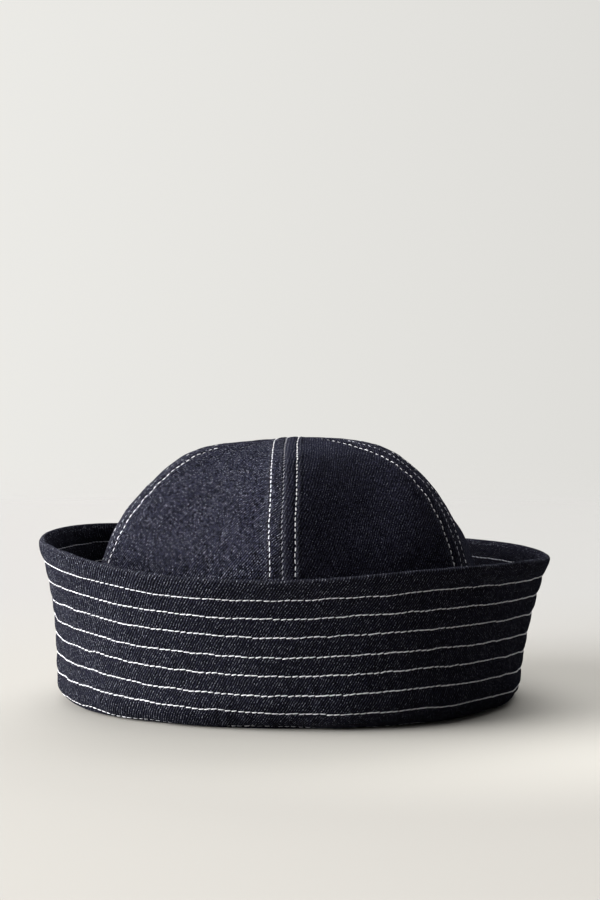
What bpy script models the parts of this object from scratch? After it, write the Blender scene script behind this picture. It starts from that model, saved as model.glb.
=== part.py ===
"""Denim sailor cap: a domed crown of six gores inside a broad stitched brim that is turned up all round.

The cap stands on its brim's fold, with the front towards -Y. Every size is in millimetres until a vertex is
placed, and every angle is in degrees, counted from the front towards +X.
"""

from collections import namedtuple
from math import radians

import bmesh
import bpy
import numpy as np

MM = 0.001
WELD = 0.000001  # metres

# Where the brim's own centre stands, so that the whole cap's box is centred on the origin
CENTRE_X = -2.1
CENTRE_Y = 0.1

# Crown
CROWN_WALL = 1.3
SEAM_GAP = 0.3
TIP_REACH = 1.8  # the gores stop this far from the point where they meet
SEAM_AZIMUTHS = (-67.5, -2.0, 61.5, 119.5, 177.0, 235.0)
CROWN_SET_BACK = 1.2  # the crown's middle lies this far behind the brim's
PANEL_STEPS_ACROSS = 7
PANEL_STEPS_UP = 13
PANEL_SHADES = (1.0, 1.08)  # the gores' cloth is taken from two shades in turn
TRAVEL_SAMPLES = 400  # how finely the height of a gore's tip is looked for

CrownRow = namedtuple("CrownRow", "height reach drift ridge")
# From the lower edge to the top: outer height and reach, sideways drift of the middle, and how far the seams stand
# proud of the middle of the gores, as a share of the reach
CROWN_ROWS = (
    CrownRow(3.5, 92.0, -2.0, 0.00),
    CrownRow(22.0, 91.5, -2.0, 0.00),
    CrownRow(42.0, 88.0, -1.8, 0.01),
    CrownRow(58.0, 83.5, -1.4, 0.03),
    CrownRow(72.0, 79.0, -1.0, 0.07),
    CrownRow(84.0, 71.5, -0.6, 0.11),
    CrownRow(94.0, 63.5, -0.2, 0.12),
    CrownRow(108.0, 45.0, 0.5, 0.12),
    CrownRow(112.0, 24.0, 0.3, 0.06),
    CrownRow(113.0, 0.0, -0.5, 0.00),
)

# Brim
BRIM_WALL = 3.0
FOLD_RADIUS = 8.5  # outer radius of the soft fold that the cap stands on
RIM_MARGIN = 8.5  # from the first stitch row up to the rim, bent outwards by RIM_KICK
RIM_KICK = 7.0
RIM_ROUNDING = 1.2
ROUNDED_FROM = 50  # edges that turn by more than this are rounded
BASE_HOLE = 89.5  # radius of the head opening in the brim's flat underside, centred under the crown
BRIM_STEPS_AROUND = 72

BrimSection = namedtuple("BrimSection", "azimuth reach turned_up lean")
# Round the brim: outer reach at the bottom, length of cloth turned up from the surface to the rim, and how far the
# wall leans out at the first stitch row
BRIM_SECTIONS = (
    BrimSection(-180, 102.0, 67.0, 19.0),
    BrimSection(-150, 102.0, 71.5, 16.0),
    BrimSection(-120, 102.0, 75.5, 13.5),
    BrimSection(-90, 102.5, 76.5, 12.5),
    BrimSection(-60, 104.0, 76.0, 16.0),
    BrimSection(-30, 100.5, 72.0, 24.5),
    BrimSection(0, 99.5, 70.5, 23.0),
    BrimSection(30, 103.5, 72.0, 13.5),
    BrimSection(60, 101.5, 71.0, 17.5),
    BrimSection(90, 101.5, 68.5, 24.0),
    BrimSection(120, 102.5, 68.5, 25.0),
    BrimSection(150, 102.5, 67.5, 23.0),
)

DENIM = (0.016, 0.019, 0.032, 1.0)
DENIM_ROUGHNESS = 0.88


def clear_scene():
    """Remove every object that the scene starts with."""
    for obj in list(bpy.data.objects):
        bpy.data.objects.remove(obj, do_unlink=True)


def new_collection(name):
    """Make a collection in the scene."""
    collection = bpy.data.collections.new(name)
    bpy.context.scene.collection.children.link(collection)
    return collection


def denim(name, shade):
    """Matt dark indigo denim, a shade lighter or darker than the others."""
    material = bpy.data.materials.new(name)
    material.use_nodes = True
    surface = material.node_tree.nodes["Principled BSDF"]
    surface.inputs["Base Color"].default_value = [channel * shade for channel in DENIM[:3]] + [1.0]
    surface.inputs["Roughness"].default_value = DENIM_ROUGHNESS
    surface.inputs["Metallic"].default_value = 0.0
    return material


def smooth(stations, values, at):
    """Cubic curve through a table's rows, with each row's slope taken from its neighbours."""
    slopes = np.gradient(values, stations)
    row = np.clip(np.searchsorted(stations, at, side="right") - 1, 0, len(stations) - 2)
    span = stations[row + 1] - stations[row]
    f = (at - stations[row]) / span
    start = values[row] * (1 + 2 * f) * (1 - f) ** 2 + slopes[row] * span * f * (1 - f) ** 2
    end = values[row + 1] * f**2 * (3 - 2 * f) - slopes[row + 1] * span * f**2 * (1 - f)
    return start + end


def around_brim(column, azimuth):
    """A column of BRIM_SECTIONS at any azimuth, repeating every full turn."""
    stations = np.array([section.azimuth for section in BRIM_SECTIONS], float)
    values = np.array([getattr(section, column) for section in BRIM_SECTIONS], float)
    stations = np.concatenate([stations - 360, stations, stations + 360])
    return smooth(stations, np.tile(values, 3), azimuth)


def brim_outside(azimuth, travel):
    """Points on the brim's outer face: travel runs from 0 at its hole to 4 at the rim, one unit a stretch.

    The stretches are the flat underside, the quarter fold, the wall, whose lean grows evenly to the first stitch
    row, and the rim margin, which kicks out further.
    """
    reach, turned_up, lean = (around_brim(column, azimuth) for column in ("reach", "turned_up", "lean"))
    flat, fold, wall, margin = (np.clip(travel - start, 0, 1) for start in range(4))
    bend = fold * radians(90)
    wall_length = turned_up - FOLD_RADIUS * radians(90) - RIM_MARGIN
    lean = np.radians(lean)
    leaning = wall * lean
    kicked = lean + margin * radians(RIM_KICK)
    radius = (
        reach - FOLD_RADIUS
        + FOLD_RADIUS * np.sin(bend)
        + wall_length * (1 - np.cos(leaning)) / lean
        + RIM_MARGIN * (np.cos(lean) - np.cos(kicked)) / radians(RIM_KICK)
    )
    height = (
        FOLD_RADIUS * (1 - np.cos(bend))
        + wall_length * np.sin(leaning) / lean
        + RIM_MARGIN * (np.sin(kicked) - np.sin(lean)) / radians(RIM_KICK)
    )
    hole = place(BASE_HOLE, azimuth, 0, CROWN_ROWS[0].drift, CROWN_SET_BACK)
    turned = place(radius, azimuth, height, 0, 0)
    return hole + (turned - hole) * flat[:, None]


def crown_travel():
    """Distance of each CROWN_ROWS row from the lower edge, along the cloth, as a share of the way to the top."""
    height = np.array([row.height for row in CROWN_ROWS])
    reach = np.array([row.reach for row in CROWN_ROWS])
    travel = np.concatenate([[0], np.cumsum(np.hypot(np.diff(height), np.diff(reach)))])
    return travel / travel[-1]


def up_crown(column, travel, sign=1):
    """A column of CROWN_ROWS at any travel, mirrored past the top so that the crown is level there."""
    stations = crown_travel()
    values = np.array([getattr(row, column) for row in CROWN_ROWS])
    stations = np.concatenate([stations, 2 - stations[-2::-1]])
    return smooth(stations, np.concatenate([values, sign * values[-2::-1]]), travel)


def panel_outside(across, travel, start, width):
    """Points on a gore's outer face: across runs from -1 at one seam to 1 at the next.

    The reach grows with the square of across, which leaves the seams standing proud.
    """
    reach = up_crown("reach", travel, sign=-1)
    ridge = up_crown("ridge", travel)
    slope = np.arctan(4 * ridge / radians(width))
    half_gap = SEAM_GAP / 2 + CROWN_WALL * np.sin(slope)
    edge = 1 - 2 * np.degrees(half_gap / reach) / width
    across = across * edge
    radius = reach * (1 + ridge * (across**2 - 1 / 3))
    azimuth = start + width * (across + 1) / 2
    return place(radius, azimuth, up_crown("height", travel), up_crown("drift", travel), CROWN_SET_BACK)


def place(radius, azimuth, height, drift, set_back):
    """Turn a radius, an azimuth and a height into points in metres."""
    turn = np.radians(azimuth)
    x = CENTRE_X + drift + radius * np.sin(turn)
    y = CENTRE_Y + set_back - radius * np.cos(turn)
    return np.stack(np.broadcast_arrays(x, y, height), axis=-1) * MM


def sheet(name, columns, rows, surface, material, collection):
    """An open grid of columns by rows faces, shaped by surface(u, v) with u and v from 0 to 1."""
    bm = bmesh.new()
    bmesh.ops.create_grid(bm, x_segments=columns, y_segments=rows, size=0.5)
    u, v = np.array([vertex.co[:2] for vertex in bm.verts]).T + 0.5
    for vertex, point in zip(bm.verts, surface(u, v)):
        vertex.co = point
    bmesh.ops.remove_doubles(bm, verts=bm.verts, dist=WELD)
    for face in bm.faces:
        face.smooth = True
    mesh = bpy.data.meshes.new(name)
    bm.to_mesh(mesh)
    bm.free()
    mesh.materials.append(material)
    obj = bpy.data.objects.new(name, mesh)
    collection.objects.link(obj)
    return obj


def thicken(obj, wall):
    """Give an open sheet its wall, on the inner side."""
    solidify = obj.modifiers.new("wall", "SOLIDIFY")
    solidify.thickness = wall * MM
    solidify.offset = -1
    solidify.use_even_offset = True
    solidify.use_quality_normals = True


def crown_panel(number, collection):
    """One gore of the crown, from its lower edge to the point where the gores meet."""
    start = SEAM_AZIMUTHS[number - 1]
    width = (SEAM_AZIMUTHS[number % len(SEAM_AZIMUTHS)] - start) % 360
    stations = np.linspace(0, 1, TRAVEL_SAMPLES)
    top = np.interp(-TIP_REACH, -up_crown("reach", stations, sign=-1), stations)
    name = f"crown_panel_{number}"
    material = denim(name, PANEL_SHADES[number % 2])

    def surface(u, v):
        return panel_outside(2 * u - 1, v * top, start, width)

    panel = sheet(name, PANEL_STEPS_ACROSS, PANEL_STEPS_UP, surface, material, collection)
    thicken(panel, CROWN_WALL)
    return panel


def brim(collection):
    """The brim: a flat ring under the crown's edge, a soft fold, the turned-up wall and its rounded rim."""
    steps = (1, 5, 7, 2)  # faces along the underside, the fold, the wall and the rim margin
    stations = np.concatenate([stretch + np.arange(count) / count for stretch, count in enumerate(steps)] + [[4]])

    def surface(u, v):
        return brim_outside(u * 360 - 180, np.interp(v, np.linspace(0, 1, len(stations)), stations))

    ring = sheet("brim", BRIM_STEPS_AROUND, sum(steps), surface, denim("brim", 1.0), collection)
    thicken(ring, BRIM_WALL)
    bevel = ring.modifiers.new("rounded rim", "BEVEL")
    bevel.width = RIM_ROUNDING * MM
    bevel.segments = 2
    bevel.limit_method = "ANGLE"
    bevel.angle_limit = radians(ROUNDED_FROM)
    return ring


clear_scene()
cap = new_collection("sailor_cap")
for panel_number in range(1, len(SEAM_AZIMUTHS) + 1):
    crown_panel(panel_number, cap)
brim(cap)
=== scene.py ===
"""Looks of the denim sailor cap: six sewn gores, the turned-up stitched brim, and every stitch that shows.

Sizes are in millimetres until a mesh is made, and azimuths in degrees from the front (-Y) towards +X.
"""

from math import pi, radians

import bpy
import numpy as np
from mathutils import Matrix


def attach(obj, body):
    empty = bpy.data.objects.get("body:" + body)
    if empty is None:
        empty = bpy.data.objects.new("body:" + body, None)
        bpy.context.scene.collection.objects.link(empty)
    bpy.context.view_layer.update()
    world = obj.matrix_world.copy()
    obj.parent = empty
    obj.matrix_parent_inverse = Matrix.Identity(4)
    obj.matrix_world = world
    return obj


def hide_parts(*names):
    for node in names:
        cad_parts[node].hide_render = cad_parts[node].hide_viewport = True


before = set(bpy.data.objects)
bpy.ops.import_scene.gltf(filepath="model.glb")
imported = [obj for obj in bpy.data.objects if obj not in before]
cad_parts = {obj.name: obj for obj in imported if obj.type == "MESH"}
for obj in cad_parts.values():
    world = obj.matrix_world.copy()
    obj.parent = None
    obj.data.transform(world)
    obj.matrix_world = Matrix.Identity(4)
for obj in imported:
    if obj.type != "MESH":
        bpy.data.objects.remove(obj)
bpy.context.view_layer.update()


# ---- Camera, floor and light -------------------------------------------------------------------------------
# A table in a pale studio, seen from the front and a little above. The light is soft and comes low from the left
# and behind, with a weak ceiling. The floor fades into the backdrop.

camera_data = bpy.data.cameras.new("camera")
camera_data.lens = 112.32
camera_data.sensor_width = 36.0
camera_data.clip_start = 0.05
camera = bpy.data.objects.new("camera", camera_data)
camera.location = (-0.0021, -1.23565, 0.20294)
camera.rotation_euler = (radians(90 - 4.361), 0, radians(-0.182))
bpy.context.scene.collection.objects.link(camera)
bpy.context.scene.camera = camera

bpy.context.scene.view_settings.view_transform = "Standard"
bpy.context.scene.view_settings.look = "None"


def add(tree, kind, inputs=None, **settings):
    """One shader node. Each input is given a number or colour, or linked to the socket named for it."""
    node = tree.nodes.new(kind)
    for name, value in settings.items():
        setattr(node, name, value)
    for name, value in (inputs or {}).items():
        if isinstance(value, bpy.types.NodeSocket):
            tree.links.new(value, node.inputs[name])
        else:
            node.inputs[name].default_value = value
    return node


def maths(tree, operation, *values):
    """The result of one Math node on numbers or sockets."""
    return add(tree, "ShaderNodeMath", dict(enumerate(values)), operation=operation).outputs[0]


def vectors(tree, operation, *values):
    """The result of one Vector Math node: a number from a dot product, length or distance, or else a vector."""
    node = add(tree, "ShaderNodeVectorMath", dict(enumerate(values)), operation=operation)
    return node.outputs["Value" if operation in ("DOT_PRODUCT", "LENGTH", "DISTANCE") else "Vector"]


def split(tree, vector):
    """The X, Y and Z of a vector."""
    return add(tree, "ShaderNodeSeparateXYZ", {0: vector}).outputs


def ramp(tree, value, start, end, low=0.0, high=1.0, shape="LINEAR"):
    """low where value is below start, high where it is above end, and an even or SMOOTHSTEP change between."""
    given = {"Value": value, "From Min": start, "From Max": end, "To Min": low, "To Max": high}
    return add(tree, "ShaderNodeMapRange", given, interpolation_type=shape).outputs[0]


def blend_colours(tree, share, low, high, how="MIX"):
    """Two colours, or sockets, mixed by share."""
    mix = add(tree, "ShaderNodeMix", {0: share, 6: low, 7: high}, data_type="RGBA", blend_type=how)
    return mix.outputs[2]


def new_material(name, finish):
    """A material whose Principled shader has the finish given by its sockets' names; its tree and that shader."""
    material = bpy.data.materials.new(name)
    material.use_nodes = True
    surface = material.node_tree.nodes["Principled BSDF"]
    for socket, value in finish.items():
        surface.inputs[socket].default_value = value
    return material, material.node_tree, surface


# Painted light on the backdrop: lighter on the left, where the light comes from, and darker on the right
BACKDROP_LIT_LEFT = (0.835, 0.826, 0.793, 1)
BACKDROP_SHADED_RIGHT = (0.735, 0.727, 0.698, 1)
BACKDROP_EDGE = 0.11  # X of the direction in which each of the two colours is reached
LIGHT_COLOUR = (1.0, 0.988, 0.968, 1)
SPREAD = 22.0  # each soft light falls off as exp(-SPREAD x (1 - cos(angle from its middle)))
# Azimuth, elevation and strength of each: a broad low window on the left, another behind, and a weak ceiling
SOFT_LIGHTS = (
    (-68, 4, 12.1), (-90, 4, 14.7), (-112, 4, 1.7), (-68, 20, 16.7), (-90, 20, 17.0),
    (-135, 20, 1.0), (-158, 20, 4.4), (180, 20, 7.1), (158, 20, 3.5), (90, 12, 0.7),
    (180, 40, 7.0), (-90, 40, 0.6), (150, 40, 2.2), (180, 63, 1.3), (0, 89, 4.3),
)

world = bpy.data.worlds.new("studio")
bpy.context.scene.world = world
world.use_nodes = True
sky = world.node_tree
sky.nodes.clear()
direction = add(sky, "ShaderNodeTexCoord").outputs["Generated"]
strength = 0.0
for azimuth, elevation, power in SOFT_LIGHTS:
    level, turn = np.cos(radians(elevation)), radians(azimuth)
    towards = (level * np.sin(turn), -level * np.cos(turn), np.sin(radians(elevation)))
    facing = vectors(sky, "DOT_PRODUCT", direction, towards)
    falloff = maths(sky, "EXPONENT", maths(sky, "MULTIPLY_ADD", facing, SPREAD, -SPREAD))
    strength = maths(sky, "MULTIPLY_ADD", falloff, power, strength)
room = add(sky, "ShaderNodeBackground", {"Color": LIGHT_COLOUR, "Strength": strength})
across_view = ramp(sky, split(sky, direction)["X"], -BACKDROP_EDGE, BACKDROP_EDGE)
backdrop_colour = blend_colours(sky, across_view, BACKDROP_LIT_LEFT, BACKDROP_SHADED_RIGHT)
backdrop = add(sky, "ShaderNodeBackground", {"Color": backdrop_colour, "Strength": 1.0})
# The camera sees the backdrop, and the table and cap are lit by the soft lights
camera_ray = add(sky, "ShaderNodeLightPath").outputs["Is Camera Ray"]
chosen = add(sky, "ShaderNodeMixShader", {0: camera_ray, 1: room.outputs[0], 2: backdrop.outputs[0]})
add(sky, "ShaderNodeOutputWorld", {"Surface": chosen.outputs[0]})

# The table, in metres
FLOOR_REACH = 1.6
FLOOR_FADE = (0.55, 1.35)  # between these distances from the middle it fades away
FLOOR_RINGS, FLOOR_STEPS = 24, 96
# The table's colours are painted light and shade: lighter on the left, towards the light, darker on the right
FRONT_LEFT, FRONT_RIGHT = (0.300, 0.293, 0.279, 1), (0.256, 0.250, 0.238, 1)  # its colours in front of the cap
BACK_LEFT, BACK_RIGHT = (0.289, 0.285, 0.282, 1), (0.266, 0.265, 0.261, 1)  # and behind it
SIDEWAYS = 0.16  # how far to each side the left and right colours are reached
BACKWARDS = (0.05, 0.35)  # between these distances back the front colours turn into the back ones
PAINTED_LIGHT, PAINTED_LIGHT_MIDDLE = (0.342, 0.334, 0.315, 1), (0.06, -0.05, 0)  # painted light near the cap, over its shadow
PAINTED_LIGHT_REACH = (0.10, 0.23)  # and between these distances from there that turns into the other colours


def floor_disc():
    """A flat disc of rings: radius = FLOOR_REACH times the ring's share, squared so that rings crowd the middle."""
    turn = np.linspace(0, 2 * pi, FLOOR_STEPS, endpoint=False)
    radius = FLOOR_REACH * (np.arange(1, FLOOR_RINGS + 1) / FLOOR_RINGS) ** 2
    ring = np.stack([np.outer(radius, np.cos(turn)), np.outer(radius, np.sin(turn))], axis=-1)
    points = np.concatenate([ring, np.zeros(ring.shape[:2] + (1,))], axis=-1).reshape(-1, 3)
    here = np.arange(FLOOR_STEPS)
    after = (here + 1) % FLOOR_STEPS
    rows = np.arange(FLOOR_RINGS - 1)[:, None] * FLOOR_STEPS
    quads = np.stack([rows + here, rows + FLOOR_STEPS + here, rows + FLOOR_STEPS + after, rows + after], axis=-1)
    mesh = bpy.data.meshes.new("floor")
    mesh.from_pydata(points.tolist(), [], quads.reshape(-1, 4).tolist() + [here.tolist()])
    return mesh


floor = bpy.data.objects.new("floor", floor_disc())
bpy.context.scene.collection.objects.link(floor)
floor_paint, tree, surface = new_material("pale_floor", {"Roughness": 0.9, "Specular IOR Level": 0.0})
on_floor = add(tree, "ShaderNodeTexCoord").outputs["Object"]
mottling = add(tree, "ShaderNodeTexNoise", {"Vector": on_floor, "Scale": 3.0, "Detail": 4.0}).outputs[0]
x, y, _ = split(tree, on_floor)
shade_to_right = ramp(tree, x, -SIDEWAYS, SIDEWAYS)
shade_to_right = maths(tree, "ADD", shade_to_right, maths(tree, "MULTIPLY_ADD", mottling, 0.2, -0.1))
front = blend_colours(tree, shade_to_right, FRONT_LEFT, FRONT_RIGHT)
back = blend_colours(tree, shade_to_right, BACK_LEFT, BACK_RIGHT)
table = blend_colours(tree, ramp(tree, y, *BACKWARDS), front, back)
painted_light = ramp(tree, vectors(tree, "DISTANCE", on_floor, PAINTED_LIGHT_MIDDLE), *PAINTED_LIGHT_REACH, 1.0, 0.0, "SMOOTHSTEP")
tree.links.new(blend_colours(tree, painted_light, table, PAINTED_LIGHT), surface.inputs["Base Color"])
fade = ramp(tree, vectors(tree, "LENGTH", on_floor), *FLOOR_FADE, 1.0, 0.0, "SMOOTHSTEP")
tree.links.new(fade, surface.inputs["Alpha"])
floor.data.materials.append(floor_paint)


# ---- Crown: six gores --------------------------------------------------------------------------------------
# Six tapering panels of one layer of indigo denim. Neighbours are sewn face to face, the seam is opened flat
# and its two allowances are held down by a topstitch line on each side. The seam from front to back is sewn last.

MM = 0.001
SEAMS = (-70.8, -1.7, 59.3, 119.5, 177.0, 235.0)  # crown_panel_1 runs from the first seam to the second
SWINGS = (-12.1, -4.4, 8.4, 0.0, -4.4, 0.0)  # how far each seam has turned by the top
SWING_FROM, SWING_OVER = 0.35, 0.6  # share of the way up where that starts, and how long it takes
MIDDLE_X, MIDDLE_Y = -2.1, 0.1  # the middle of the brim
CROWN_SET_BACK = 1.2  # how far behind it the middle of the crown's foot lies
TOP_SET_BACK, SET_BACK_FROM = 9.6, 0.4  # how much further back the top lies, and from what share of the way up
DENIM_THICK = 1.1
ALLOWANCE = 8.0  # width of the cloth turned under at each side of a seam
TOPSTITCH = 5.03  # from the seam to the topstitching beside it
TOP_THICK = 0.45  # how much the turned allowance lifts the cloth over it
LIFT_ENDS = (5.9, 7.9)  # from the seam, where the lifted cloth starts and ends coming down again
DITCH, DITCH_WIDTH = 0.34, 0.55  # how far a seam pulls the cloth in, and over what width
HELD, HELD_WIDTH = 0.38, 0.65  # the same under the topstitching
SOFT_RIDGE = 16.8  # length over which a seam's ridge is rounded
TIP = 0.25  # the gores' meeting point is closed by edges this far from the middle

# Height, reach, sideways drift of the middle, and how far the seams stand proud as a share of the reach
CROWN = dict(
    height=(3.5, 22.0, 42.0, 58.0, 72.0, 84.0, 94.0, 108.0, 112.0, 113.0),
    reach=(92.0, 92.2, 88.9, 83.2, 76.8, 67.9, 59.4, 40.2, 20.2, 0.0),
    drift=(-2.0, -2.0, -1.8, -0.9, -0.4, 0.05, 0.75, 0.65, -0.35, -0.5),
    ridge=(0.00, 0.00, 0.03, 0.06, 0.08, 0.14, 0.15, 0.15, 0.08, 0.00),
)
RIDGE_SHARES = (0.64, 1.0, 1.0, 1.0, 1.0, 1.0)  # how strong each seam's ridge is
# How far the middle of each gore is pushed in (-) or out (+), from the left of the front seam and round, from what
# share of the way up, and how much of it lifts the cloth too
FULLNESS, FULL_FROM, FULL_LIFTS = (-1.8, -0.4, 1.8, -1.0, -1.0, 4.6), 0.35, 0.6
# The top's crest towards the front, and the dip behind it: where, how wide from left to right and from front to
# back, and how high
CREST = (5.7, 3.1, 48.0, 17.0, 4.05)
DIP = (-7.0, 20.0, 60.0, 24.0, -5.4)


def smooth(stations, values, at):
    """Cubic curve through a table's rows, with each row's slope taken from its neighbours."""
    slopes = np.gradient(values, stations)
    row = np.clip(np.searchsorted(stations, at, side="right") - 1, 0, len(stations) - 2)
    span = stations[row + 1] - stations[row]
    f = (at - stations[row]) / span
    start = values[row] * (1 + 2 * f) * (1 - f) ** 2 + slopes[row] * span * f * (1 - f) ** 2
    end = values[row + 1] * f**2 * (3 - 2 * f) - slopes[row + 1] * span * f**2 * (1 - f)
    return start + end


def up_crown(column, travel, sign=1):
    """A column of CROWN where travel is 0 at the lower edge and 1 at the top, and mirrored beyond it."""
    height, reach, values = (np.array(CROWN[name]) for name in ("height", "reach", column))
    length = np.concatenate([[0], np.cumsum(np.hypot(np.diff(height), np.diff(reach)))])
    stations = np.concatenate([length, 2 * length[-1] - length[-2::-1]]) / length[-1]
    return smooth(stations, np.concatenate([values, sign * values[-2::-1]]), travel)


CLOTH_LENGTH = float(np.sum(np.hypot(np.diff(CROWN["height"]), np.diff(CROWN["reach"]))))


def place(radius, azimuth, height, drift, set_back):
    """A radius, an azimuth and a height as points, in millimetres."""
    turn = np.radians(azimuth)
    x = MIDDLE_X + drift + radius * np.sin(turn)
    y = MIDDLE_Y + set_back - radius * np.cos(turn)
    return np.stack(np.broadcast_arrays(x, y, height), axis=-1)


def ripples(azimuth, along, seed, turns, lengths, count=26):
    """Uneven cloth, of a usual size of 1: waves of random phase added up.

    Each has a whole number of crests round the cap, within turns, and a wavelength along the cloth, within lengths.
    """
    rng = np.random.default_rng(seed)
    total = 0
    for _ in range(count):
        round_cap = rng.integers(turns[0], turns[1] + 1) * rng.choice((-1, 1))
        up_cloth = 2 * pi / rng.uniform(*lengths)
        total = total + np.cos(round_cap * np.radians(azimuth) + up_cloth * along + rng.uniform(0, 2 * pi))
    return total * np.sqrt(2 / count)


def step_down(x, start, end):
    """1 before start, 0 after end, and smooth between."""
    f = np.clip((x - start) / (end - start), 0, 1)
    return 1 - f * f * (3 - 2 * f)


def bell(x, width):
    """A bump of height 1 at 0 that falls as exp(-(x/width)^2)."""
    return np.exp(-((x / width) ** 2))


def seam_azimuths(travel):
    """Azimuth of each seam at every travel: seam + swing x share, where share grows evenly from 0 to 1."""
    share = np.clip((np.asarray(travel, float) - SWING_FROM) / SWING_OVER, 0, 1)
    return np.stack([seam + swing * share for seam, swing in zip(SEAMS, SWINGS)])


def crown_face(azimuth, travel):
    """The crown's outer face without its seams: radius = reach x (1 + ridge x (a^2 - 1/3)) + fullness.

    a runs from -1 to 1 across each gore and is rounded near the seams. The top is set back, with a crest in front
    and a dip behind.
    """
    seams = seam_azimuths(travel)
    starts = (seams - seams[0]) % 360
    widths = np.diff(np.concatenate([starts, np.full_like(starts[:1], 360)]), axis=0)
    turn = (azimuth - seams[0]) % 360
    gore = (turn >= starts).sum(axis=0) - 1
    start, width = (np.take_along_axis(values, gore[None], axis=0)[0] for values in (starts, widths))
    across = np.abs(2 * (turn - start) / width - 1)
    reach = up_crown("reach", travel, sign=-1)
    half = np.maximum(np.abs(reach) * np.radians(width) / 2, 0.01)
    to_seam = (1 - across) * half
    rounded = (np.hypot(to_seam, SOFT_RIDGE) - SOFT_RIDGE) / (np.hypot(half, SOFT_RIDGE) - SOFT_RIDGE)
    across = 1 - rounded
    rising = np.clip((travel - FULL_FROM) / (1 - FULL_FROM), 0, 1)
    full = np.array(FULLNESS)[gore] * (1 - across**2) * np.sin(pi * rising)
    shares, part = np.array(RIDGE_SHARES), (turn - start) / width
    ridge = up_crown("ridge", travel) * (shares[gore] * (1 - part) + shares[(gore + 1) % 6] * part)
    radius = reach * (1 + ridge * (across**2 - 1 / 3)) + full
    height = up_crown("height", travel) + FULL_LIFTS * full
    set_back = CROWN_SET_BACK + TOP_SET_BACK * np.clip((travel - SET_BACK_FROM) / (1 - SET_BACK_FROM), 0, 1) ** 1.5
    points = place(radius, azimuth, height, up_crown("drift", travel), set_back)
    for x, y, wide, deep, rise in (CREST, DIP):
        points[..., 2] += rise * bell(points[..., 0] - x, wide) * bell(points[..., 1] - y, deep)
    return points


def crown_normal(azimuth, travel):
    """Outward direction of crown_face, from points a little to each side."""
    along = crown_face(azimuth + 0.3, travel) - crown_face(azimuth - 0.3, travel)
    up = crown_face(azimuth, travel + 0.003) - crown_face(azimuth, travel - 0.003)
    normal = np.cross(along, up)
    return normal / np.maximum(np.linalg.norm(normal, axis=-1, keepdims=True), 1e-12)


def angle_from(middle, azimuth):
    """How far an azimuth lies from another, from -180 to 180."""
    return (azimuth - middle + 180) % 360 - 180


def to_seams(azimuth, travel):
    """Distance along the cloth to the nearest side seam, and to the long seam that runs from front to back."""
    reach = np.abs(up_crown("reach", travel, sign=-1))
    away = [np.abs(angle_from(seam, azimuth)) for seam in seam_azimuths(travel)]
    gaps = [np.where(a < 90, reach * np.sin(np.radians(np.minimum(a, 90))), 999) for a in away]
    side = np.minimum.reduce([gaps[n] for n in (0, 2, 3, 5)])
    return side, np.minimum(gaps[1], gaps[4])


def calm_at_top(travel):
    """1 over most of the crown, falling to 0 as (reach / 40)^1.5 over the last 40 mm to its middle."""
    return np.clip(np.abs(up_crown("reach", travel, sign=-1)) / 40, 0, 1) ** 1.5


def crown_lift(azimuth, travel):
    """How far the outer cloth stands off crown_face.

    It is raised over the allowances, pulled in as a bell at the seam and under the topstitching, puffed as a sine
    between the two, puckered beside the thread, and a little uneven all over.
    """
    side, long = to_seams(azimuth, travel)
    along = travel * CLOTH_LENGTH
    over_side, over_long = step_down(side, *LIFT_ENDS), step_down(long, *LIFT_ENDS)
    raised = TOP_THICK * np.maximum(over_side, over_long) + 0.25 * over_side * over_long
    seam = -DITCH * np.maximum(bell(side, DITCH_WIDTH), bell(long, DITCH_WIDTH))
    stitched = -HELD * np.maximum(bell(side - TOPSTITCH, HELD_WIDTH), bell(long - TOPSTITCH, HELD_WIDTH))
    near = np.minimum(side, long)
    puff = 0.10 * np.sin(pi * np.clip(near / TOPSTITCH, 0, 1))
    pucker = 0.11 * bell(near - TOPSTITCH, 5.0) * ripples(azimuth, along, 5, (20, 60), (6.5, 12))
    broad, fine = ripples(azimuth, along, 11, (2, 14), (45, 140)), ripples(azimuth, along, 12, (14, 44), (11, 30))
    uneven = 0.32 * broad + 0.07 * fine
    return raised + seam + stitched + puff + (pucker + uneven) * calm_at_top(travel)


def crown_inside(azimuth, travel):
    """How far the inner cloth stands in from crown_face: one layer, and two over each allowance.

    The allowance's cut edge wavers and curls, the topstitching holds it down, and the broad waves are the outside's.
    """
    side, long = to_seams(azimuth, travel)
    near = np.minimum(side, long)
    along = travel * CLOTH_LENGTH
    cut_edge = ALLOWANCE + 0.25 * ripples(azimuth, along, 21, (1, 9), (5, 22))
    turned = step_down(near - cut_edge, -0.12, 0.12)
    held = -0.35 * bell(near - TOPSTITCH, 0.6) * turned
    curl = 0.25 * bell(near - cut_edge + 0.6, 1.0) * turned
    uneven = 0.30 * ripples(azimuth, along, 11, (2, 14), (45, 140))
    return DENIM_THICK + turned * DENIM_THICK + held + curl - uneven * calm_at_top(travel)


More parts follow.
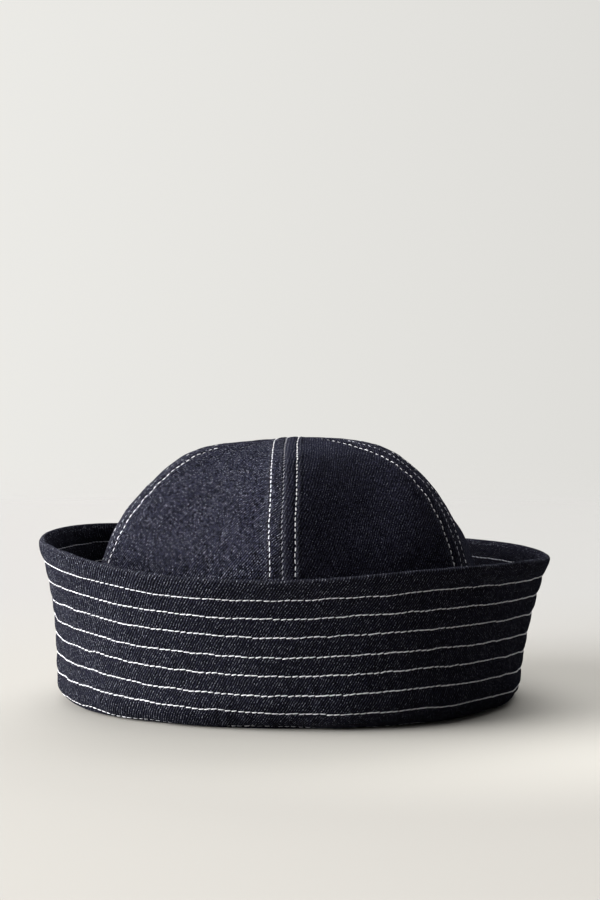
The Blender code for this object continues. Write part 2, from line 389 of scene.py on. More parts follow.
def closed_skin(name, grid, cloth, rows_close):
    """A closed mesh over grid[row, column], in millimetres, whose columns close on themselves.

    Rows do too, or else end in caps that join the first half of the columns to the second. cloth holds the UV of
    each corner, with one more row and column than the faces.
    """
    rows, columns = grid.shape[:2]
    r = np.arange(rows if rows_close else rows - 1)[:, None]
    c = np.arange(columns)[None, :]
    r2, c2 = (r + 1) % rows, (c + 1) % columns
    quads = np.stack([r * columns + c, r * columns + c2, r2 * columns + c2, r2 * columns + c], axis=-1).reshape(-1, 4)
    corners = np.stack([cloth[r, c], cloth[r, c + 1], cloth[r + 1, c + 1], cloth[r + 1, c]], axis=-2).reshape(-1, 4, 2)
    if not rows_close:
        i = np.arange(columns // 2 - 1)
        foot = np.stack([i, columns - 1 - i, columns - 2 - i, i + 1], axis=-1)
        last = (rows - 1) * columns
        tip = last + np.stack([i, i + 1, columns - 2 - i, columns - 1 - i], axis=-1)
        quads = np.concatenate([quads, foot, tip])
        ends = [cloth[0, foot], cloth[rows - 1, tip - last]]
        corners = np.concatenate([corners, *ends])
    mesh = bpy.data.meshes.new(name)
    mesh.from_pydata((grid.reshape(-1, 3) * MM).tolist(), [], quads.tolist())
    mesh.polygons.foreach_set("use_smooth", np.ones(len(quads), bool))
    layer = mesh.uv_layers.new(name="cloth_mm")
    layer.data.foreach_set("uv", corners.astype(np.float32).ravel())
    obj = bpy.data.objects.new(name, mesh)
    bpy.context.scene.collection.objects.link(obj)
    return obj


def mark(obj, name, values):
    """Give each vertex of a piece a number that its material reads."""
    attribute = obj.data.attributes.new(name, "FLOAT", "POINT")
    attribute.data.foreach_set("value", np.asarray(values, np.float32).ravel())


# Stations across half a gore, in millimetres from the seam, dense where the cloth is stitched or cut. They are
# squeezed where half the gore is narrower than NARROW.
NEAR_SEAM = np.array((
    0, 0.12, 0.3, 0.55, 0.85, 1.3, 2.0, 3.0, 4.0, 4.6, 4.95, 5.3, 5.65, 6.0, 6.6, 7.2, 7.8, 8.2, 9.5,
))
NARROW = 12
MIDDLE_STEPS = 20
GORE_ROWS = 150
FOOT = -0.0055  # travel at the gores' raw feet, hidden in the brim


def gore(number):
    """One gore as a closed skin: each row goes across its outer face and back across its inner one."""
    dense = np.linspace(0, 1, 2000)
    top = np.interp(-TIP, -up_crown("reach", dense, sign=-1), dense)
    travel = np.linspace(FOOT, top, GORE_ROWS)[:, None]
    seams = seam_azimuths(travel)
    start = seams[number - 1]
    width = (seams[number % 6] - start) % 360
    half = up_crown("reach", travel, sign=-1) * np.radians(width) / 2
    near = NEAR_SEAM * np.minimum(1, half / NARROW)
    rest = np.arange(1, MIDDLE_STEPS + 1) / MIDDLE_STEPS
    from_seam = np.concatenate([near, near[:, -1:] + (half - near[:, -1:]) * rest], axis=1)
    left = -1 + from_seam / half
    across = np.concatenate([left, -left[:, -2::-1]], axis=1)
    azimuth = start + width * (across + 1) / 2
    travel = np.broadcast_to(travel, azimuth.shape)
    face, normal = crown_face(azimuth, travel), crown_normal(azimuth, travel)
    outer = face + normal * crown_lift(azimuth, travel)[..., None]
    inner = face - normal * crown_inside(azimuth, travel)[..., None]
    grid = np.concatenate([outer, inner[:, ::-1]], axis=1)
    sideways = half * across
    across_cloth = np.concatenate([sideways, sideways[:, ::-1]], axis=1)
    up_cloth = np.concatenate([travel, travel], axis=1) * CLOTH_LENGTH
    cloth = np.stack([across_cloth, up_cloth], axis=-1)
    # Each gore comes from another part of the cloth
    cloth = np.concatenate([cloth, cloth[:, :1]], axis=1) + (number * 40.0, number * 13.0)
    obj = closed_skin(f"crown_gore_{number}", grid, cloth, rows_close=False)
    side, long = to_seams(azimuth, travel)
    near = np.minimum(side, long)
    # Raised edges are rubbed pale: beside the seam and the topstitching outside, and the cut edges inside
    rubbed_and_highlit = bell(near - 5.9, 0.7) * 0.5 + bell(near - 0.9, 0.5) * 0.5
    cut = step_down(np.abs(near - ALLOWANCE - 0.1), 0.0, 0.9)
    mark(obj, "rubbed_and_highlit", np.concatenate([rubbed_and_highlit, cut[:, ::-1]], axis=1))
    inside = np.zeros(len(obj.data.polygons), np.int32)
    columns = grid.shape[1]
    inside[: (GORE_ROWS - 1) * columns] = np.tile(np.arange(columns) >= columns // 2, GORE_ROWS - 1)
    obj.data.polygons.foreach_set("material_index", inside)
    return obj


WARP_APART, WEFT_APART = 0.305, 0.49  # from one yarn to the next


def weave_group():
    """Denim seen close, on a UV in millimetres.

    Warp yarns run along V. A pale weft yarn shows over every fourth warp, one warp further on at each pick, which
    draws the twill's steep lines. Colour is the warp's, uneven from yarn to yarn and from crossing to crossing, with
    the weft's dots over it, each of random strength. Fleck sets how much that varies, Lines how dark the twill's
    lines are, and Grain how much each pair of crossings differs from the next. Rubbed And Highlit, from 0 to 1, lets
    more of the pale core show: wear, and on the brim's rim partly a painted highlight. Height is high on the warp
    yarns.
    """
    group = bpy.data.node_groups.new("denim weave", "ShaderNodeTree")
    for kind, names in (
        ("NodeSocketVector", ("Cloth",)),
        ("NodeSocketColor", ("Warp", "Weft")),
        ("NodeSocketFloat", ("Weft Show", "Fleck", "Lines", "Grain", "Rubbed And Highlit")),
    ):
        for name in names:
            group.interface.new_socket(name, in_out="INPUT", socket_type=kind)
    group.interface.new_socket("Colour", in_out="OUTPUT", socket_type="NodeSocketColor")
    group.interface.new_socket("Height", in_out="OUTPUT", socket_type="NodeSocketFloat")
    given = add(group, "NodeGroupInput").outputs

    def noise(where, scale, detail, roughness=0.5):
        """Smooth noise over the cloth."""
        wanted = {"Vector": where, "Scale": scale, "Detail": detail, "Roughness": roughness}
        return add(group, "ShaderNodeTexNoise", wanted, noise_dimensions="2D").outputs

    def chances(cell):
        """A random number and colour for each cell."""
        return add(group, "ShaderNodeTexWhiteNoise", {"Vector": cell}, noise_dimensions="2D").outputs

    # Where on the cloth: its yarns wander a little, and are then counted
    wander = vectors(group, "SUBTRACT", noise(given["Cloth"], 0.22, 2.0)["Color"], (0.5, 0.5, 0.5))
    moved = vectors(group, "MULTIPLY_ADD", wander, (1.2, 0.8, 0), given["Cloth"])
    yarns = vectors(group, "DIVIDE", moved, (WARP_APART, WEFT_APART, 1))
    crossing = vectors(group, "FLOOR", yarns)
    across_warp, across_weft, _ = split(group, yarns)
    warp_number, pick_number, _ = split(group, crossing)
    warp_within, pick_within, _ = split(group, vectors(group, "FRACTION", yarns))

    # The twill: which crossings show weft, how round its yarns are, and the lines that it draws
    turn = maths(group, "FLOORED_MODULO", maths(group, "SUBTRACT", warp_number, pick_number), 4.0)
    weft_up = maths(group, "LESS_THAN", turn, 0.5)
    warp_round = maths(group, "SINE", maths(group, "MULTIPLY", warp_within, pi))
    pick_round = maths(group, "SINE", maths(group, "MULTIPLY", pick_within, pi))
    dot = maths(group, "MULTIPLY", weft_up, maths(group, "MULTIPLY", warp_round, pick_round))
    slanting = maths(group, "MULTIPLY", maths(group, "SUBTRACT", across_warp, across_weft), pi / 2)
    line = maths(group, "MULTIPLY_ADD", maths(group, "COSINE", slanting), 0.5, 0.5)

    # What is uneven: each crossing, each pair of them, slubs along both yarns, small mottling and broad patches
    chance, glint, _ = add(group, "ShaderNodeSeparateColor", {0: chances(crossing)["Color"]}).outputs
    pairs = vectors(group, "FLOOR", vectors(group, "MULTIPLY", yarns, (0.5, 1.0, 0)))
    grain = maths(group, "MULTIPLY_ADD", chances(pairs)["Value"], 2.0, -1.0)
    grain = maths(group, "MULTIPLY_ADD", grain, given["Grain"], 1.0)
    warp_slub = noise(vectors(group, "MULTIPLY", yarns, (1.0, 0.04, 0)), 1.0, 3.0)[0]
    weft_slub = noise(vectors(group, "MULTIPLY", yarns, (0.05, 0.8, 0)), 1.0, 2.0)[0]
    mottle = noise(given["Cloth"], 0.8, 3.0, roughness=0.65)[0]
    patch = noise(given["Cloth"], 0.035, 2.0)[0]

    # How much weft shows
    shows = maths(group, "MULTIPLY", maths(group, "POWER", chance, 4.0), given["Fleck"])
    shows = maths(group, "ADD", shows, maths(group, "MULTIPLY", weft_slub, 0.2))
    for factor in (maths(group, "MULTIPLY_ADD", mottle, 2.2, -0.3), dot, given["Weft Show"], grain):
        shows = maths(group, "MULTIPLY", shows, factor)
    worn_and_highlit = maths(group, "MULTIPLY", given["Rubbed And Highlit"], maths(group, "MULTIPLY_ADD", mottle, 1.6, -0.5))
    shows = maths(group, "MULTIPLY_ADD", worn_and_highlit, maths(group, "MULTIPLY_ADD", dot, 0.5, 0.12), shows)
    shows = add(group, "ShaderNodeClamp", {"Value": shows}).outputs[0]

    # The warp's tone
    glints = maths(group, "MULTIPLY_ADD", maths(group, "POWER", glint, 2.0), 1.8, 0.4)
    contrast = maths(group, "MULTIPLY", maths(group, "MULTIPLY_ADD", line, 1.5, -0.75), given["Lines"])
    tone = maths(group, "MULTIPLY_ADD", warp_slub, 0.8, 0.6)
    patches = maths(group, "MULTIPLY_ADD", patch, 0.5, 0.75)
    for factor in (glints, maths(group, "ADD", contrast, 1.0), grain, patches):
        tone = maths(group, "MULTIPLY", tone, factor)
    grey = add(group, "ShaderNodeCombineColor", {0: tone, 1: tone, 2: tone}).outputs[0]
    warp_colour = blend_colours(group, 1.0, given["Warp"], grey, how="MULTIPLY")
    colour = blend_colours(group, shows, warp_colour, given["Weft"])
    height = maths(group, "MULTIPLY", warp_round, maths(group, "MULTIPLY_ADD", weft_up, -0.75, 1.0))
    height = maths(group, "MULTIPLY_ADD", warp_slub, 0.5, height)
    add(group, "NodeGroupOutput", {"Colour": colour, "Height": height})
    return group


denim_weave = weave_group()
WEFT = (0.30, 0.31, 0.365, 1)


def denim(name, warp, fleck, lines, grain, weft=WEFT, weft_show=1.0, relief=0.4, sheen=0.012):
    """Raw denim from the weave group: rough, with a faint pale sheen from its loose fibres.

    Where a piece is marked with painted shade, its weft shows less: weft_show x (1 - painted_shade).
    """
    material, tree, surface = new_material(name, {
        "Roughness": 0.9, "Specular IOR Level": 0.0,
        "Sheen Weight": sheen, "Sheen Roughness": 0.45, "Sheen Tint": (0.62, 0.68, 1.0, 1),
    })
    cloth = add(tree, "ShaderNodeUVMap", uv_map="cloth_mm").outputs[0]
    rubbed_and_highlit = add(tree, "ShaderNodeAttribute", attribute_name="rubbed_and_highlit").outputs["Fac"]
    painted_shade = add(tree, "ShaderNodeAttribute", attribute_name="painted_shade").outputs["Fac"]
    weave = add(tree, "ShaderNodeGroup", {
        "Cloth": cloth, "Warp": warp, "Weft": weft,
        "Weft Show": maths(tree, "MULTIPLY_ADD", painted_shade, -weft_show, weft_show),
        "Fleck": fleck, "Lines": lines, "Grain": grain, "Rubbed And Highlit": rubbed_and_highlit,
    }, node_tree=denim_weave).outputs
    tree.links.new(weave["Colour"], surface.inputs["Base Color"])
    bump = add(tree, "ShaderNodeBump", {"Height": weave["Height"], "Strength": relief, "Distance": 0.0001})
    tree.links.new(bump.outputs[0], surface.inputs["Normal"])
    return material


# The two front gores use lit and shaded copies of the denim: painted light on the left one, which faces the light,
# lighter and most flecked, and painted shade on the right one, darker and smoothest. The rest lie between
lit_gore_denim = denim("indigo_denim_painted_light", (0.0052, 0.0052, 0.0096, 1), fleck=1.15, lines=0.8, grain=0.9, relief=0.9)
shaded_gore_denim = denim("indigo_denim_painted_shade", (0.0046, 0.0046, 0.0086, 1), fleck=0.38, lines=0.0, grain=0.6, relief=0.15)
plain = denim("indigo_denim_plain", (0.0048, 0.0048, 0.0090, 1), fleck=0.7, lines=0.4, grain=0.5, relief=0.6)
reverse = denim(
    "indigo_denim_reverse", (0.040, 0.044, 0.064, 1), fleck=1.5, lines=0.6, grain=0.3,
    weft=(0.33, 0.33, 0.35, 1), weft_show=1.6, sheen=0.1,
)
for number in range(1, 7):
    panel = gore(number)
    panel.data.materials.append({1: lit_gore_denim, 2: shaded_gore_denim}.get(number, plain))
    panel.data.materials.append(reverse)
    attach(panel, "root")
    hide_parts(f"crown_panel_{number}")


# ---- Crown: stitching --------------------------------------------------------------------------------------
# White cotton topstitching, one line on each side of every seam, and the grey seam thread that shows in the
# ditch. The front and back seams are one seam, so their lines run on over the top.

STITCH = 2.8  # from one stitch to the next
CROWN_THREAD = 0.225  # radius
SEAM_STITCH, SEAM_THREAD = 2.6, 0.19  # the same for the thread in the ditch
ALONG_STITCH = np.array((-1, -0.62, 0, 0.62, 1.0))  # each stitch has a ring of points at these, from end to end
RINGS, SIDES = len(ALONG_STITCH), 6


def over_crown(seam, offset, reach_at_end, back=None):
    """The line at `offset` to one side of a seam, by its number: azimuth = seam + asin(offset / reach).

    It climbs from the lower edge until the reach is reach_at_end, or goes on down the seam numbered back.
    """
    dense = np.linspace(0.002, 0.9999, 6000)
    reach = up_crown("reach", dense, sign=-1)
    stop = max(reach_at_end, abs(offset) + 1e-4)
    travel = np.append(dense[reach > stop], np.interp(-stop, -reach, dense))
    aside = np.degrees(np.arcsin(np.clip(offset / up_crown("reach", travel, sign=-1), -1, 1)))
    seams = seam_azimuths(travel)
    azimuth = seams[seam] + aside
    if back is not None:
        azimuth = np.concatenate([azimuth, (seams[back] - aside)[::-1]])
        travel = np.concatenate([travel, travel[::-1]])
    return azimuth, travel


def on_crown(line, outside=True):
    """Points and directions of a line on the finished cloth, outside or inside."""
    azimuth, travel = line
    face, normal = crown_face(azimuth, travel), crown_normal(azimuth, travel)
    if outside:
        return face + normal * crown_lift(azimuth, travel)[:, None], normal
    return face - normal * crown_inside(azimuth, travel)[:, None], -normal


def stitch_rings(points, normals, pitch, share, thread, sink, slant, seed):
    """Rings of points for every stitch on a line, t running from -1 to 1 along each.

    A stitch covers its share of a pitch. It stands off the line by rise x (1 - t^4) - sink x t^4, leans across it by
    slant x t, and is thinner at its ends.
    """
    rng = np.random.default_rng(seed)
    length = np.concatenate([[0], np.cumsum(np.linalg.norm(np.diff(points, axis=0), axis=1))])
    count = int(length[-1] / pitch)
    t = ALONG_STITCH
    middle = (np.arange(count) + 0.5) / count * length[-1] + rng.normal(0, 0.09, count)
    long = share * pitch * (1 + rng.normal(0, 0.07, count))
    at = middle[:, None] + t * long[:, None] / 2
    centre = np.stack([np.interp(at, length, points[:, k]) for k in range(3)], axis=-1)
    normal = np.stack([np.interp(at, length, normals[:, k]) for k in range(3)], axis=-1)
    normal /= np.linalg.norm(normal, axis=-1, keepdims=True)
    ahead = np.gradient(centre, axis=1)
    ahead /= np.maximum(np.linalg.norm(ahead, axis=-1, keepdims=True), 1e-9)
    side = np.cross(normal, ahead)
    rise = thread * 0.45 + rng.normal(0, 0.03, count)[:, None]
    lift = rise * (1 - t**4) - sink * t**4
    lean = (slant + rng.normal(0, 0.06, count))[:, None] * t + rng.normal(0, 0.07, count)[:, None]
    centre = centre + normal * lift[..., None] + side * lean[..., None]
    thick = thread * (1 - 0.3 * t**4) * (1 + rng.normal(0, 0.04, count))[:, None]
    around = 2 * pi * np.arange(SIDES) / SIDES
    ring = side[:, :, None] * np.cos(around)[:, None] + normal[:, :, None] * 0.85 * np.sin(around)[:, None]
    return centre[:, :, None] + ring * thick[..., None, None]


def stitches(name, rings, material):
    """One piece of all the stitches in a list of stitch_rings: six-sided tubes closed at both ends.

    Their UV runs along each stitch and round it.
    """
    rings = np.concatenate(rings)
    count = len(rings)
    base = np.arange(count)[:, None, None] * RINGS * SIDES
    r, s = np.arange(RINGS - 1)[:, None], np.arange(SIDES)
    s2 = (s + 1) % SIDES
    quads = np.stack([r * SIDES + s, (r + 1) * SIDES + s, (r + 1) * SIDES + s2, r * SIDES + s2], axis=-1)
    quads = (quads.reshape(1, -1, 4) + base).reshape(-1, 4)
    first = (np.arange(SIDES) + base[:, :, 0]).tolist()
    last = (np.arange(SIDES)[::-1] + base[:, :, 0] + (RINGS - 1) * SIDES).tolist()
    mesh = bpy.data.meshes.new(name)
    mesh.from_pydata((rings.reshape(-1, 3) * MM).tolist(), [], quads.tolist() + first + last)
    mesh.polygons.foreach_set("use_smooth", np.ones(len(mesh.polygons), bool))
    steps = ((0, 0), (1, 0), (1, 1), (0, 1))
    corner = np.stack([np.stack(np.broadcast_arrays(r + i, s + j), axis=-1) for i, j in steps], axis=-2)
    around = np.tile((corner / (RINGS - 1, SIDES)).reshape(-1, 2), (count, 1))
    ends = np.full((2 * count * SIDES, 2), 0.5)
    layer = mesh.uv_layers.new(name="along_stitch")
    layer.data.foreach_set("uv", np.concatenate([around, ends]).astype(np.float32).ravel())
    mesh.materials.append(material)
    obj = bpy.data.objects.new(name, mesh)
    bpy.context.scene.collection.objects.link(obj)
    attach(obj, "root")


def twist_group():
    """Plied thread: slanting ridges on a UV that runs along and round each stitch.

    Height = 1/2 + sin(2 pi (turns x U + 2 V)) / 2.
    """
    group = bpy.data.node_groups.new("plied thread", "ShaderNodeTree")
    group.interface.new_socket("Along", in_out="INPUT", socket_type="NodeSocketVector")
    group.interface.new_socket("Turns", in_out="INPUT", socket_type="NodeSocketFloat")
    group.interface.new_socket("Height", in_out="OUTPUT", socket_type="NodeSocketFloat")
    given = add(group, "NodeGroupInput").outputs
    u, v, _ = split(group, given["Along"])
    phase = maths(group, "MULTIPLY_ADD", u, given["Turns"], maths(group, "MULTIPLY", v, 2.0))
    wave = maths(group, "SINE", maths(group, "MULTIPLY", phase, 2 * pi))
    add(group, "NodeGroupOutput", {"Height": maths(group, "MULTIPLY_ADD", wave, 0.5, 0.5)})
    return group


plied_thread = twist_group()


def thread(name, groove_shade, ridge, turns):
    """Matt cotton thread, with painted shade between its plies."""
    material, tree, surface = new_material(name, {"Roughness": 0.7, "Specular IOR Level": 0.3})
    along = add(tree, "ShaderNodeUVMap", uv_map="along_stitch").outputs[0]
    twist = add(tree, "ShaderNodeGroup", {"Along": along, "Turns": turns}, node_tree=plied_thread).outputs["Height"]
    tree.links.new(blend_colours(tree, twist, groove_shade, ridge), surface.inputs["Base Color"])
    bump = add(tree, "ShaderNodeBump", {"Height": twist, "Strength": 0.6, "Distance": 0.0001})
    tree.links.new(bump.outputs[0], surface.inputs["Normal"])
    return material


white_thread = thread("white_topstitch_thread", (0.46, 0.462, 0.49, 1), (0.655, 0.655, 0.70, 1), turns=3.0)
grey_thread = thread("grey_seam_thread", (0.19, 0.193, 0.23, 1), (0.35, 0.355, 0.41, 1), turns=2.0)

SIDE_SEAMS = (0, 2, 3, 5)
BESIDE = (-TOPSTITCH, TOPSTITCH)
top_lines = [over_crown(1, offset, 0, back=4) for offset in BESIDE]
top_lines += [over_crown(seam, offset, reach_at_end=10.0) for seam in SIDE_SEAMS for offset in BESIDE]
ditches = [over_crown(1, 0.0, 0.5, back=4)] + [over_crown(seam, 0.0, reach_at_end=2.5) for seam in SIDE_SEAMS]

outside = [
    stitch_rings(*on_crown(line), STITCH, share=0.77, thread=CROWN_THREAD, sink=0.24, slant=-0.08, seed=300 + n)
    for n, line in enumerate(top_lines)
]
inside = [
    stitch_rings(
        *on_crown(line, outside=False), STITCH, share=0.84, thread=CROWN_THREAD, sink=0.24, slant=0.08, seed=340 + n,
    )
    for n, line in enumerate(top_lines)
]
in_ditch = [
    stitch_rings(*on_crown(line), SEAM_STITCH, share=0.72, thread=SEAM_THREAD, sink=0.02, slant=-0.36, seed=380 + n)
    for n, line in enumerate(ditches)
]
stitches("crown_topstitching", outside, white_thread)
stitches("crown_topstitching_inside", inside, white_thread)
stitches("crown_seam_thread", in_ditch, grey_thread)


# ---- Brim --------------------------------------------------------------------------------------------------
# Two layers of denim sewn together at the rim, turned, and quilted by eight rows round the brim. Its lower edge
# is sewn to the crown with the allowance pressed up inside, and the whole brim is folded up round the crown.

FOLD_RADIUS = 8.5  # outer radius of the soft fold that the cap stands on
SOFTER_FRONT, SOFTER_WIDTH = 6.5, 42  # how much larger that is in front, and over what angle
RIM_MARGIN, RIM_KICK = 8.5, 7.0  # from the first row to the rim, and by how many degrees that is bent out
FULLER_RIGHT, FULLER_WIDTH = 1.4, 35  # how far the wall's middle is pushed out on the right, and over what angle
HEAD_OPENING = 89.5
FLAT, FLATTER_SIDES = 3.2, 1.6  # width of the flat underside in front and behind, and how much more at the sides
BRIM_LAYERS = 2.9  # thickness between rows
# Azimuth, reach at the bottom, cloth turned up from the surface to the rim, and lean of the wall
BRIM = dict(
    azimuth=(-180, -150, -120, -90, -60, -30, 0, 30, 60, 90, 120, 150),
    reach=(102.0, 102.0, 102.0, 102.5, 104.0, 100.5, 99.5, 103.5, 101.5, 101.5, 102.5, 102.5),
    turned_up=(67.0, 71.5, 75.5, 76.5, 76.0, 72.0, 70.5, 72.0, 71.0, 68.5, 67.8, 66.7),
    lean=(19.0, 16.0, 13.5, 12.5, 16.0, 24.5, 23.0, 13.5, 17.5, 24.0, 25.0, 23.0),
)
ROWS = (9.0, 17.4, 25.65, 34.3, 42.15, 50.35, 58.5, 68.1)  # down the cloth from the rim


def around_brim(column, azimuth):
    """A column of BRIM at any azimuth."""
    stations = np.array(BRIM["azimuth"], float)
    stations = np.concatenate([stations - 360, stations, stations + 360])
    return smooth(stations, np.tile(np.array(BRIM[column], float), 3), azimuth)


def fold(azimuth):
    """The fold's radius, and the length of cloth from the table to the rim.

    Where the radius grows by w, a quarter turn takes pi/2 x w of cloth and starts w further in.
    """
    wider = SOFTER_FRONT * bell(angle_from(0, azimuth), SOFTER_WIDTH)
    return FOLD_RADIUS + wider, around_brim("turned_up", azimuth) + (pi / 2 - 1) * wider


def brim_face(azimuth, down):
    """The brim's outer face, `down` millimetres of cloth below the rim, and its outward direction.

    From the table up it is a quarter circle, a wall whose lean grows evenly, and a rim margin that kicks out; before
    that it runs flat from the head opening. The wall is fuller on the right by a sine up it.
    """
    reach = around_brim("reach", azimuth)
    lean, kick = np.radians(around_brim("lean", azimuth)), radians(RIM_KICK)
    fold_radius, turned_up = fold(azimuth)
    fold_length = fold_radius * pi / 2
    wall_length = turned_up - fold_length - RIM_MARGIN
    up = turned_up - down
    bend = np.clip(up, 0, fold_length) / fold_radius
    up_wall = np.clip((up - fold_length) / wall_length, 0, 1)
    leaning = up_wall * lean
    kicked = lean + np.clip((up - fold_length - wall_length) / RIM_MARGIN, 0, 1.2) * kick
    radius = (
        reach - fold_radius + fold_radius * np.sin(bend)
        + wall_length * (1 - np.cos(leaning)) / lean
        + RIM_MARGIN * (np.cos(lean) - np.cos(kicked)) / kick
    )
    radius = radius + FULLER_RIGHT * np.sin(pi * up_wall) * bell(angle_from(90, azimuth), FULLER_WIDTH)
    height = (
        fold_radius * (1 - np.cos(bend))
        + wall_length * np.sin(leaning) / lean
        + RIM_MARGIN * (np.sin(kicked) - np.sin(lean)) / kick
    )
    turned = place(radius, azimuth, height, 0, 0)
    hole = place(HEAD_OPENING, azimuth, 0, CROWN["drift"][0], CROWN_SET_BACK)
    flat_length = np.linalg.norm(turned - hole, axis=-1)
    inward = np.clip(-up / np.maximum(flat_length, 0.1), 0, 1)[..., None]
    slope = bend - leaning - (kicked - lean)
    turn = np.radians(azimuth)
    out = (np.sin(slope) * np.sin(turn), -np.sin(slope) * np.cos(turn), -np.cos(slope))
    return turned + (hole - turned) * inward, np.stack(np.broadcast_arrays(*out), axis=-1)


def row_lines(azimuth):
    """Distance below the rim of the rim itself, the eight rows, and the head opening.

    Each row wanders as it was sewn, the seventh keeps level with the fold, and the eighth passes under it in front.
    """
    rim = np.zeros_like(azimuth, float)
    opening = fold(azimuth)[1] + FLAT + FLATTER_SIDES * np.sin(np.radians(azimuth)) ** 2
    lines = [rim]
    for number, row in enumerate(ROWS):
        wander = 0.11 * ripples(azimuth, 0 * azimuth, 500 + number, (6, 60), (90, 91))
        lines.append(row + wander)
    level = bell(angle_from(-30, azimuth), 20) - 0.9 * bell(angle_from(30, azimuth), 20)
    lines[7] = lines[7] - level
    lines[8] = lines[8] + 2.3 * step_down(np.abs(azimuth - 10), 52, 72)
    return np.stack(lines + [opening])


def broad_waves(azimuth, down):
    """How far the whole brim, both layers together, waves in and out."""
    return 0.22 * ripples(azimuth, down, 610, (5, 24), (40, 120))


def quilting(azimuth, down, lines, face):
    """How far the brim's cloth stands off its face between the rows. face is 1 outside and 2 inside.

    It is puffed in the middle, pulled in as a bell at each thread, and uneven where the rows feed it along. Outside
    it lies flatter within 8 mm of the head opening, and where it is on the table it only dips.
    """
    gaps = down - lines[1:9]
    nearest = np.abs(gaps).min(axis=0)
    pulled = -0.34 * bell(nearest, 0.7)
    puffed = 0.22 * (1 - bell(nearest, 2.6))
    small = 0.10 * ripples(azimuth, down, 600 + face, (60, 150), (9, 24)) * (1 - bell(nearest, 1.5))
    if face == 2:
        return pulled + puffed + small - broad_waves(azimuth, down)
    out = (pulled + puffed + small + broad_waves(azimuth, down)) * np.clip((lines[9] - down) / 8, 0, 1)
    on_table = step_down(fold(azimuth)[1] - down, 2.0, 5.0)
    return out + on_table * (np.minimum(out, -0.45 * bell(nearest, 0.9)) - out)


# Where a row of faces lies between two stitch rows, as a share of the way
UNDER_BRIM = (0.02, 0.2, 0.4, 0.6, 0.8, 0.9)
BETWEEN_ROWS_OUTSIDE = (0, 0.04, 0.09, 0.17, 0.30, 0.50, 0.70, 0.83, 0.91, 0.96)
BETWEEN_ROWS_INSIDE = (0, 0.08, 0.30, 0.70, 0.92)
BEYOND_ROWS_INSIDE = (0.0, 0.4, 0.8)
# Round the rim in section: millimetres below the rim and out from the face. The outer layer ends at RIM_SEAM.
RIM_SECTION = np.array((
    (8.65, -0.12), (8.2, 0.02), (7.4, 0.16), (6.2, 0.22), (4.8, 0.22), (3.5, 0.16), (2.4, 0.06), (1.5, -0.08),
    (0.8, -0.28), (0.33, -0.62), (0.10, -1.00), (0.08, -1.30), (0.30, -1.45), (0.08, -1.60), (0.12, -1.92),
    (0.35, -2.35), (0.95, -2.74), (1.9, -3.00), (3.1, -3.14), (4.6, -3.20), (6.2, -3.16), (7.5, -3.04),
    (8.3, -2.92), (8.7, -2.76),
))
RIM_SEAM = -1.4
# Up inside the crown: millimetres out from the head opening and above the table
ALLOWANCE_SECTION = np.array((
    (0.2, 0.0), (-0.5, 0.25), (-1.05, 0.9), (-1.3, 1.9), (-1.4, 4.0), (-1.45, 7.0), (-1.35, 10.4), (-1.15, 11.3),
    (-0.85, 11.55), (-0.62, 11.35), (-0.55, 10.9), (-0.48, 11.4), (-0.2, 11.7), (0.1, 11.4), (0.15, 10.4),
    (0.12, 7.0), (0.12, 4.2), (0.5, 3.05),
))
RAW_EDGE = 11.5  # height of the allowance's cut edge
BRIM_COLUMNS = 632
WARPS_ROUND = 2184  # warp yarns round the brim, a whole number of twill repeats
SHADE_RIGHT, SHADE_RIGHT_AT, SHADE_RIGHT_WIDTH = 0.45, 55, 50  # painted shade on the brim's right, away from the light: how much less weft shows, where, over what angle
SHADED_INSIDE_FROM = 3.0  # below the rim, where the inside's painted shade starts
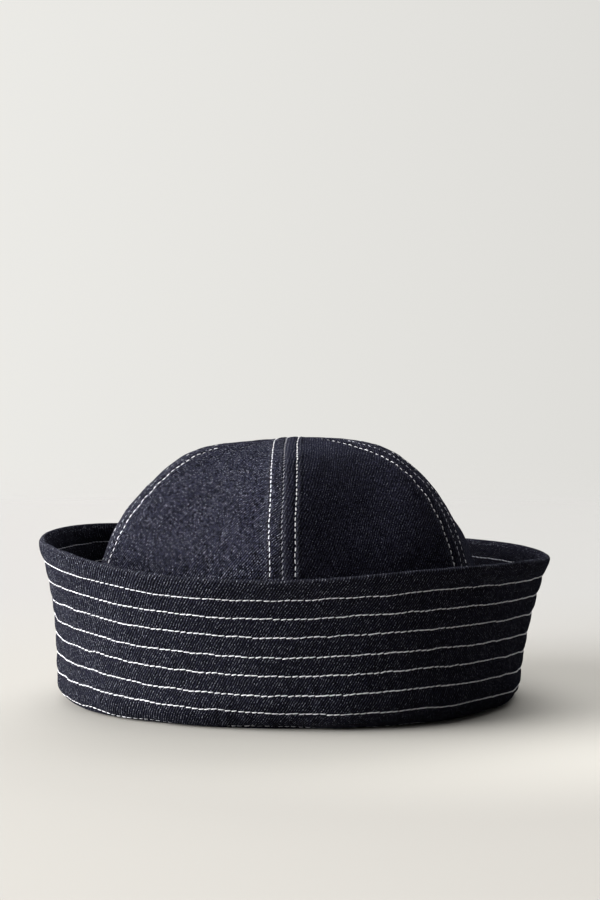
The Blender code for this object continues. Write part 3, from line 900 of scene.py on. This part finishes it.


def brim_skin():
    """The brim as one closed skin: its columns' azimuths, rows of points, place along the cloth, wear and painted
    highlight.

    The rows go from the head opening under and up the outside, over the rim, down the inside and up the allowance.
    """
    azimuth = np.linspace(-180, 180, BRIM_COLUMNS, endpoint=False)
    lines = row_lines(azimuth)
    points, travel, rubbed_and_highlit = [], [], []

    def between(first, last, shares):
        """Distances below the rim, from row `first` to row `last`, at each share of every step."""
        step = 1 if last > first else -1
        for row in range(first, last, step):
            for share in shares:
                yield lines[row] * (1 - share) + lines[row + step] * share

    def lay(down, out, along, wear_and_highlight):
        """One row of points, out from the brim's face."""
        point, normal = brim_face(azimuth, down)
        points.append(point + normal * (out + 0 * azimuth)[:, None])
        travel.append(along + 0 * azimuth)
        rubbed_and_highlit.append(wear_and_highlight + 0 * azimuth)

    for down in between(9, 8, UNDER_BRIM):
        lay(down, -0.02, -down, 0)
    for down in between(8, 1, BETWEEN_ROWS_OUTSIDE):
        lay(down, quilting(azimuth, down, lines, 1), -down, 0.06)
    first = lines[1]
    lay(first, quilting(azimuth, first, lines, 1), -first, 0.1)
    for below, out in RIM_SECTION:
        outer = out > RIM_SEAM
        down = below * first / ROWS[0]
        broad, fine = ripples(azimuth, down, 620, (8, 40), (12, 50)), ripples(azimuth, down, 621, (50, 130), (8, 20))
        soft = (0.16 * broad + 0.07 * fine) * (1 - bell(below - ROWS[0], 2.2))
        soft = soft * (1 if outer else -1) * step_down(-np.abs(out + BRIM_LAYERS / 2), -1.2, -0.1)
        waves = broad_waves(azimuth, down) * min(below / ROWS[0], 1)
        # The rim's edge is paler: wear, and partly a painted highlight where the edge catches the light
        wear_and_highlight = (0.13 if outer else 0.03) + 0.35 * bell(below - 0.1, 0.35)
        lay(down, out + soft + waves, -below if outer else below, wear_and_highlight)
    for down in between(1, 8, BETWEEN_ROWS_INSIDE):
        lay(down, -BRIM_LAYERS - quilting(azimuth, down, lines, 2), down + 4.0, 0.03)
    for down in between(8, 9, BEYOND_ROWS_INSIDE):
        down = np.minimum(down, lines[9] - 1.0)
        lay(down, -BRIM_LAYERS - 0.1 * quilting(azimuth, down, lines, 2), down + 4.0, 0.03)
    for n, (out, height) in enumerate(ALLOWANCE_SECTION[::-1]):
        wave = 0.35 * ripples(azimuth, 0 * azimuth, 630, (3, 26), (90, 91)) * np.clip((height - 6) / 5, 0, 1)
        points.append(place(HEAD_OPENING + out, azimuth, height + wave, CROWN["drift"][0], CROWN_SET_BACK))
        travel.append(lines[9] + 6.0 + n * 1.6)
        rubbed_and_highlit.append(0.9 * bell(height - RAW_EDGE, 0.7) + 0 * azimuth)
    return azimuth, np.stack(points), np.stack(travel), np.stack(rubbed_and_highlit)


azimuth, grid, travel, rubbed_and_highlit = brim_skin()
# The UV counts millimetres of cloth: once round the brim in U, and from the head opening and back to it in V
round_cap = np.append(azimuth, 180.0) / 360 * WARPS_ROUND * WARP_APART
cloth = np.stack(np.broadcast_arrays(round_cap[None, :], np.zeros((len(grid) + 1, BRIM_COLUMNS + 1))), axis=-1).copy()
cloth[:-1, :-1, 1] = travel
cloth[-1, :-1, 1] = travel[-1] + 1.0
cloth[:, -1, 1] = cloth[:, 0, 1]
brim = closed_skin("brim_quilted", grid, cloth, rows_close=True)
mark(brim, "rubbed_and_highlit", rubbed_and_highlit)
# Painted shade: less weft shows on the brim's right, away from the light
mark(brim, "painted_shade", SHADE_RIGHT * bell(angle_from(SHADE_RIGHT_AT, azimuth), SHADE_RIGHT_WIDTH) + 0 * rubbed_and_highlit)
brim.data.materials.append(denim("indigo_denim_brim", (0.0030, 0.0030, 0.0060, 1), fleck=1.25, lines=0.9, grain=0.25))
# The inside is a darker copy of the brim's denim: painted shade, where the crown shades it
brim.data.materials.append(
    denim("indigo_denim_brim_inside_painted_shade", (0.0020, 0.0020, 0.0042, 1), fleck=0.5, lines=0.5, grain=0.0)
)
shaded_inside = np.repeat((travel[:, 0] > SHADED_INSIDE_FROM).astype(np.int32), BRIM_COLUMNS)
brim.data.polygons.foreach_set("material_index", shaded_inside)
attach(brim, "root")
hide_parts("brim")


# ---- Brim: stitching ---------------------------------------------------------------------------------------
# Eight rows round the brim through both layers: white thread outside, and under it inside the grey seam thread,
# darker there as painted shade. The lowest lies on the fold, and shows only where the brim is turned up furthest.

BRIM_THREAD = 0.245  # radius


def brim_row(row, outside=True):
    """Points and directions round a stitch row on the finished cloth."""
    azimuth = np.linspace(-180, 180, 3001)
    lines = row_lines(azimuth)
    down = lines[row]
    point, normal = brim_face(azimuth, down)
    if outside:
        return point + normal * quilting(azimuth, down, lines, 1)[:, None], normal
    return point - normal * (BRIM_LAYERS + quilting(azimuth, down, lines, 2))[:, None], -normal


outside = [
    stitch_rings(*brim_row(row), STITCH, share=1.0, thread=BRIM_THREAD, sink=0.16, slant=0.19, seed=700 + row)
    for row in range(1, 9)
]
inside = [
    stitch_rings(
        *brim_row(row, outside=False), STITCH, share=1.02, thread=BRIM_THREAD, sink=0.14, slant=-0.12, seed=720 + row,
    )
    for row in range(1, 8)
]
stitches("brim_topstitching", outside, white_thread)
# Painted shade: the inside rows use the darker grey thread
stitches("brim_topstitching_inside", inside, grey_thread)
